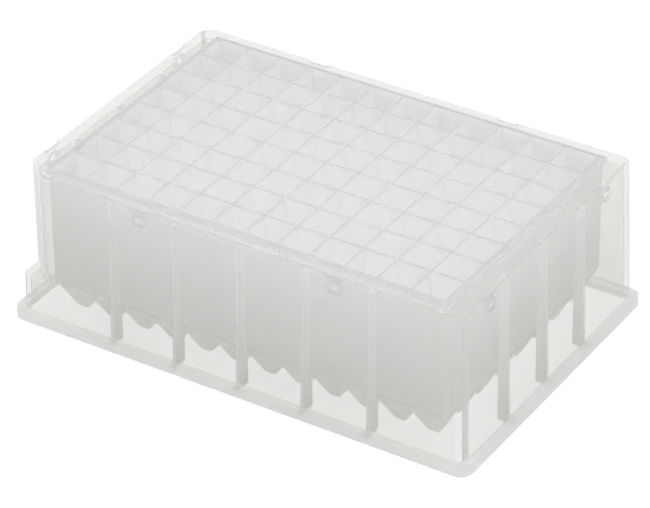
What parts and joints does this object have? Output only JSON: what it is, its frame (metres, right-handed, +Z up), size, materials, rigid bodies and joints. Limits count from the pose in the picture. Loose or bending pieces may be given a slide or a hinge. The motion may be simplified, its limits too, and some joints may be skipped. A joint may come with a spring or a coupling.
{
  "type": "well plate",
  "caption": "Deep-well plate with a grid of square wells that end in blunt pyramids, a raised rim, a lowered ledge with lid windows, an open skirt, a base flange and one cut corner.",
  "frame": {"origin": "centre of the footprint, on the plane that the base flange stands on", "axes": "+X along the long side, away from the end with the cut corner; +Y across the plate, away from the long side with the cut corner; +Z up, towards the mouths of the wells"},
  "size_m": [0.1278, 0.0854, 0.0423],
  "materials": {
    "polypropylene": "natural polypropylene: milky, see-through in thin walls, with a soft sheen"
  },
  "bodies": {
    "root": {"plate": "polypropylene"}
  },
  "joints": []
}
